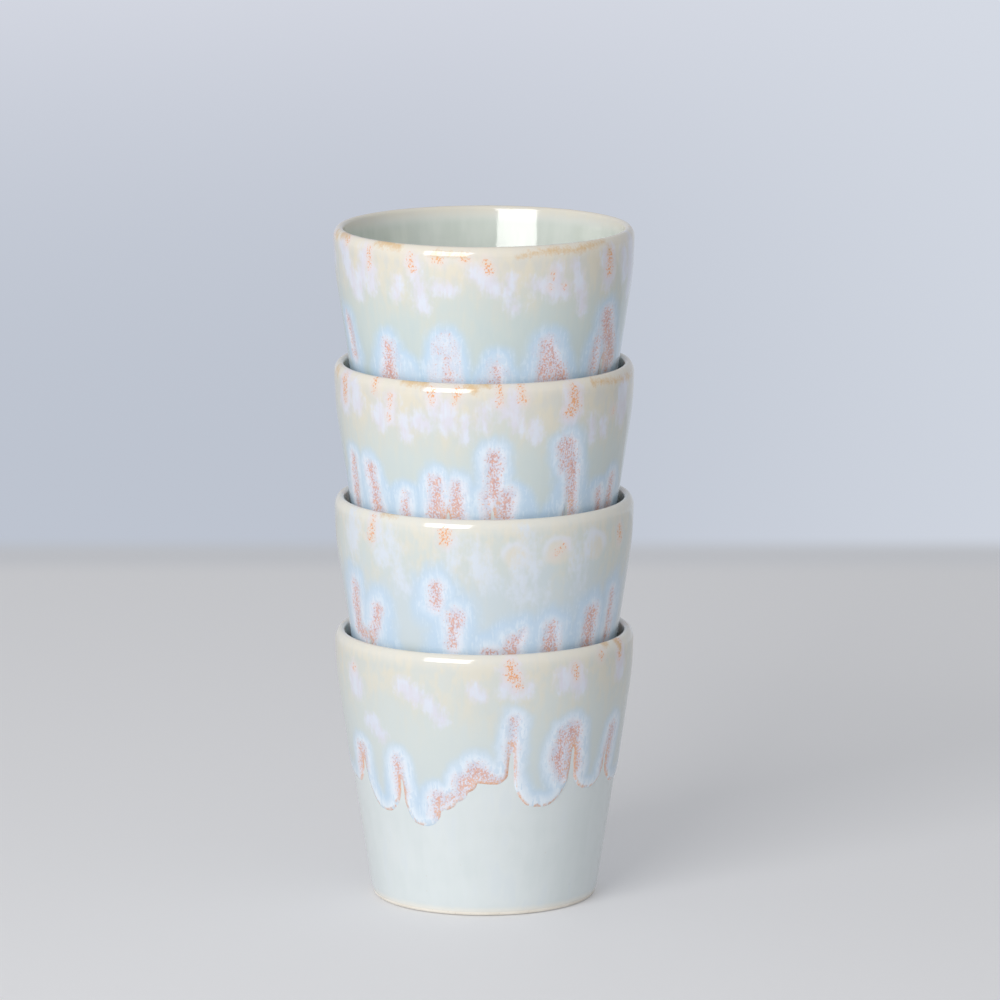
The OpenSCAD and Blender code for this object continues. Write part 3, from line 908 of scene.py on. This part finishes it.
def glaze_thickness(from_edge):
    """Thickness over the base glaze, below nought past the edge."""
    within = np.maximum(from_edge, 0)
    bead = bead_thick * (1 - np.exp(-within * edge_slope / bead_thick))
    film = run_thick + (bead_thick - run_thick) * np.exp(-(within / bead_reach) ** 2)
    return np.where(from_edge > 0, np.minimum(bead, film), np.maximum(edge_slope * from_edge, -edge_dip))


print("rows", len(run_surface), "columns", COLUMNS)


# %% Build one run glaze
def build_run(k):
    """Points, cells and kept cells of a cup's run glaze, and the distances that its finish needs."""
    radii, heights = run_surface[:, 0], run_surface[:, 1]
    angles = column_angles
    grid = (angles[None, :], heights[:, None], radii[:, None])
    rows, columns = len(heights), len(angles)
    outside = np.arange(rows) <= lip_row
    from_edge = np.full((rows, columns), FAR)
    from_edge[outside] = above_edge(k, angles, heights[outside], radii[outside])
    wave = sum(high * np.sin(np.radians(angles * count + shift * k)) for high, count, shift in inner_waves)
    from_inner = heights[:, None] - (cup_top - reach_inside + wave[None, :])
    film = np.clip(from_inner / fade_inside, -0.5, 1)
    film = run_thick * film * np.abs(film) * (3 - 2 * np.abs(film))
    rust = inside_strokes(rust_strokes[k], *grid) - np.where(outside, 0.0, FAR)[:, None]
    dragged = np.clip((rust - drag_from) / drag_over, 0, 1)
    thinned = 1 - drag_share * dragged ** 2 * (3 - 2 * dragged)
    run = glaze_thickness(from_edge)
    thick = np.where(outside[:, None], np.where(run > 0, run * thinned, run), film)
    reach = np.where(outside[:, None], from_edge + past_edge, from_inner + past_inner)

    turn = np.radians(angles)
    way = np.stack([np.sin(turn), -np.cos(turn)], 1)

    def lifted(depth):
        across = radii[:, None] + run_normal[:, 0][:, None] * depth
        up = heights[:, None] + run_normal[:, 1][:, None] * depth + (k - 1) * step_up
        return np.concatenate([across[..., None] * way[None], up[..., None]], 2)

    front = lifted(thick)
    back = lifted(np.full_like(thick, -back_depth))
    points = np.concatenate([front.reshape(-1, 3), back.reshape(-1, 3)]) * MM

    after = np.roll(np.arange(columns), -1)
    corner = np.arange(rows * columns).reshape(rows, columns)
    cell = np.stack([corner[:-1], corner[:-1][:, after], corner[1:][:, after], corner[1:]], 2)
    kept = reach.reshape(-1)[cell].max(2) > 0
    return points, cell, kept, dict(from_edge=from_edge, rust=rust, grid=grid)


print("corners of one run glaze, both sides:", 2 * len(run_surface) * COLUMNS)


# %% Close the layer and lay it out flat
def close_up(cell, kept, half):
    """Front faces, back faces and the rim between them, and how many are front faces."""
    front = cell[kept]
    faces = [front, front[:, ::-1] + half]
    beside = {"below": np.roll(kept, 1, 0), "above": np.roll(kept, -1, 0),
              "left": np.roll(kept, 1, 1), "right": np.roll(kept, -1, 1)}
    beside["below"][0] = False
    beside["above"][-1] = False
    for side, (a, b) in {"below": (0, 1), "right": (1, 2), "above": (2, 3), "left": (3, 0)}.items():
        open_cells = cell[kept & ~beside[side]]
        first, second = open_cells[:, a], open_cells[:, b]
        faces.append(np.stack([second, first, first + half, second + half], 1))
    return np.concatenate(faces), len(front)


def unrolled(faces, front_count, rows, columns, half):
    """A flat layout with a quarter of the turn in each corner, and the hidden faces in a narrow band."""
    which = faces % half
    row, column = which // columns, which % columns
    first = column[:, :1]
    column = np.where(column < first - columns / 2, column + columns, column)
    strip = columns // 4
    count = column.min(1) // strip
    quarter = (count % 4)[:, None]
    across = (column - (count * strip)[:, None]) / strip
    tall = row / (rows - 1)
    hidden = (np.arange(len(faces)) >= front_count)[:, None]
    # On a page of one by one, each quarter keeps a small margin, with its hidden band on top
    u = 0.5 * (quarter % 2) + 0.005 + 0.488 * across
    v = 0.5 * (quarter // 2) + np.where(hidden, 0.474 + 0.018 * tall, 0.006 + 0.46 * tall)
    return np.stack([u, v], 2)


print("run glazes can be closed and laid out")

# %% [markdown]
# ## How each cup came out of the kiln, and painted bounce light
# The cups were fired in different places of the kiln, so each has its own tint. The second cup is the
# bluest, its bands run wide and its milk is thin; the upper two are the warmest. Low on the wall the
# glaze turns blue also away from an edge. A low steepness makes a band or a cloud wide and soft.
# The walls of the lower cups are also painted paler, for the light the floor throws up on them.

# %% Tints of each cup, and their painted bounce light
blueness = {1: 0.15, 2: 0.9, 3: 0.15, 4: 0.15}
# Painted bounce light: how much paler each cup's wall is painted, for the light thrown up by the floor
bounce_paleness = {1: 0.6, 2: 0.2, 3: 0.25, 4: 0.0}
warmth = {1: 0.35, 2: 0.0, 3: 1.0, 4: 1.0}
band_steepness = {1: 1.0, 2: 0.7, 3: 1.0, 4: 1.0}
less_white = {1: -0.4, 2: 0.6, 3: 0.2, 4: 1.0}
blue_from = {1: 33.0, 2: 38.0, 3: 38.0, 4: 38.0}
blue_below = {1: 1.7, 2: 1.2, 3: 4.0, 4: 1.0}
milk_steepness = {1: 1.0, 2: 0.5, 3: 1.0, 4: 1.0}
less_milk = {1: 0.0, 2: 0.4, 3: 0.0, 4: 0.0}
turns_blue_over = 8.0
veil_below, veil_over = 0.3, 2.4


def marks_on(k, from_edge, rust, grid):
    """What the finish reads at each row and column of a cup's run glaze."""
    shape = rust.shape
    heights = np.broadcast_to(grid[1], shape)
    past_lip = np.where(np.arange(shape[0]) > lip_row, FAR, 0.0)[:, None]
    veil = np.clip((cup_top - veil_below - heights) / veil_over, 0, 1) * (past_lip > 0)
    band = np.minimum(from_edge, -rust) * band_steepness[k]
    low_down = np.clip((blue_from[k] - heights) / turns_blue_over, 0, 1) * blue_below[k]
    milk = inside_strokes(milk_strokes[k], *grid) * milk_steepness[k] - less_milk[k]
    craters = [(angle, z, angle, z, radius, radius) for angle, z, radius, _ in milk_rings[k]]
    return {
        "height": heights,
        "inside": veil,
        "from_edge": from_edge,
        "rust": rust,
        "white_band": band + less_white[k],
        "blue_band": band - low_down,
        "milk": milk - past_lip,
        "bubble": inside_rings(milk_rings[k], *grid) - past_lip,
        "fleck": inside_strokes(fleck_strokes[k], *grid) - past_lip,
        "ochre": inside_strokes(ochre_strokes[k], *grid) - past_lip,
        "blueness": np.full(shape, blueness[k]),
        "bounce_paleness": np.full(shape, bounce_paleness[k]),
        "warmth": np.full(shape, warmth[k]),
        "crater": inside_strokes(craters, *grid),
    }


print("bluest cup:", max(blueness, key=blueness.get))

# %% Build the run glaze of each cup
run_layers = {}
for k in CUPS:
    points, cell, kept, distances = build_run(k)
    half = len(points) // 2
    faces, front_count = close_up(cell, kept, half)
    layout = unrolled(faces, front_count, len(run_surface), COLUMNS, half)
    used, renumbered = np.unique(faces, return_inverse=True)
    mesh = bpy.data.meshes.new(f"cup_{k}_run_glaze")
    mesh.from_pydata(points[used].tolist(), [], renumbered.reshape(-1, 4).tolist())
    mesh.polygons.foreach_set("use_smooth", np.ones(len(faces), bool))
    mesh.uv_layers.new(name="OFBake").data.foreach_set("uv", layout.reshape(-1).astype(np.float32))
    for name, value in marks_on(k, **distances).items():
        carry(mesh, name, np.tile(value.reshape(-1), 2)[used])
    mesh.materials.append(drip_glaze)
    run_layers[k] = bpy.data.objects.new(f"cup_{k}_run_glaze", mesh)
    bpy.context.scene.collection.objects.link(run_layers[k])
print("run glaze layers:", {k: 2 * len(o.data.polygons) for k, o in run_layers.items()}, "triangles")

# %% [markdown]
# ## Hand the pieces to the part
# Each glaze rides on the body of its own cup, so that it lifts off with it, and stands in for the CAD
# layer of the same place.

# %% Ride and replace
for k in CUPS:
    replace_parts(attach(base_layers[k], f"cup_{k}"), f"cup_{k}_glaze")
    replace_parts(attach(run_layers[k], f"cup_{k}"), f"cup_{k}_drips")

# %% [markdown]
# ## Floor and backdrop
# The stack stands on a whitish floor before a pale blue-grey backdrop, out of focus.
# One wide disc does for both: white near the cups, where it catches the shadow, and beyond a line behind
# them it only shows the backdrop's colour to the camera and in reflections. Sizes are in metres.

# %% The floor
floor_ends = 0.405
end_blur = 0.015
near_glow = 0.20
floor_radius = 4
floor_corners = 128
floor_height = -0.0001
floor = bpy.data.objects.new("floor", bpy.data.meshes.new("floor"))
ring = np.linspace(0, 2 * math.pi, floor_corners, endpoint=False)
disc = [(floor_radius * math.cos(a), floor_radius * math.sin(a), floor_height) for a in ring]
floor.data.from_pydata(disc, [], [tuple(range(floor_corners))])
bpy.context.scene.collection.objects.link(floor)
print("floor of", len(floor.data.vertices), "corners")


# %% White near the cups, backdrop beyond
def seen_directly(tree):
    """One for what the camera or a mirror shows, nought for what only gives light."""
    rays = tree.nodes.new("ShaderNodeLightPath")
    seen = maths(tree, "MAXIMUM", rays.outputs["Is Camera Ray"], rays.outputs["Is Glossy Ray"])
    return maths(tree, "MAXIMUM", seen, rays.outputs["Is Transmission Ray"])


floor_finish, tree, shader = new_finish("pale_floor")
place = tree.nodes.new("ShaderNodeTexCoord")
far = tree.nodes.new("ShaderNodeVectorMath")
far.operation = "LENGTH"
tree.links.new(place.outputs["Object"], far.inputs[0])
away = far.outputs["Value"]
shader.inputs["Base Color"].default_value = (0.85, 0.855, 0.875, 1.0)
shader.inputs["Roughness"].default_value = 0.6
shader.inputs["Specular IOR Level"].default_value = 0.2
across = tree.nodes.new("ShaderNodeSeparateXYZ")
tree.links.new(place.outputs["Object"], across.inputs[0])
backdrop = tinted(tree, (0.51, 0.55, 0.63), (0.70, 0.72, 0.795), away, 0.5, 2.4)
from_camera = maths(tree, "ADD", across.outputs["Y"], camera_distance)
to_right = maths(tree, "DIVIDE", across.outputs["X"], from_camera)
backdrop = tinted(tree, backdrop, (0.68, 0.72, 0.795), to_right, -0.02, 0.09, 0.7)
glow = tree.nodes.new("ShaderNodeEmission")
at_end = eased(tree, across.outputs["Y"], floor_ends - 3 * end_blur, floor_ends - end_blur)
beyond = eased(tree, across.outputs["Y"], floor_ends - end_blur, floor_ends + end_blur)
haze = maths(tree, "ADD", times(tree, beyond, 1 - near_glow), near_glow)
share = times(tree, seen_directly(tree), haze)
floor_glow = (0.78, 0.785, 0.82)
tree.links.new(blended(tree, at_end, floor_glow, backdrop), glow.inputs["Color"])
both = tree.nodes.new("ShaderNodeMixShader")
tree.links.new(share, both.inputs[0])
tree.links.new(shader.outputs[0], both.inputs[1])
tree.links.new(glow.outputs[0], both.inputs[2])
tree.links.new(both.outputs[0], tree.nodes["Material Output"].inputs["Surface"])
floor.data.materials.append(floor_finish)
print("floor finish has", len(tree.nodes), "nodes")

# %% [markdown]
# ## Light
# A large window to the left of the camera lights the cups from low down. It draws the white streaks on
# the lips and the bright shape inside the top cup. The rest of the room is an even pale light.

# %% The window
window_turn, window_rise, window_distance = 29.0, 24.0, 1.2
window = bpy.data.objects.new("window", bpy.data.lights.new("window", "AREA"))
window.data.shape = "RECTANGLE"
window.data.size = 0.74
window.data.size_y = 0.68
window.data.energy = 9.4
window.data.color = (1.0, 0.985, 0.965)
turn, rise = math.radians(window_turn), math.radians(window_rise)
way = Vector((-math.sin(turn) * math.cos(rise), -math.cos(turn) * math.cos(rise), math.sin(rise)))
window.location = Vector((0, 0, aim_height)) + way * window_distance
window.rotation_euler = way.to_track_quat("Z", "Y").to_euler()
window.visible_camera = False
bpy.context.scene.collection.objects.link(window)
print("window at", [round(x, 2) for x in window.location])

# %% The room
world = bpy.data.worlds.new("room")
bpy.context.scene.world = world
world.use_nodes = True
tree = world.node_tree
room = tree.nodes["Background"]
room.inputs["Color"].default_value = (0.98, 0.99, 1.0, 1.0)
room.inputs["Strength"].default_value = 0.43
seen_room = tree.nodes.new("ShaderNodeBackground")
seen_room.inputs["Color"].default_value = (0.62, 0.645, 0.72, 1.0)
both = tree.nodes.new("ShaderNodeMixShader")
tree.links.new(seen_directly(tree), both.inputs[0])
tree.links.new(room.outputs[0], both.inputs[1])
tree.links.new(seen_room.outputs[0], both.inputs[2])
tree.links.new(both.outputs[0], tree.nodes["World Output"].inputs["Surface"])
bpy.context.scene.view_settings.view_transform = "Standard"
print("room light of", round(room.inputs["Strength"].default_value, 2))
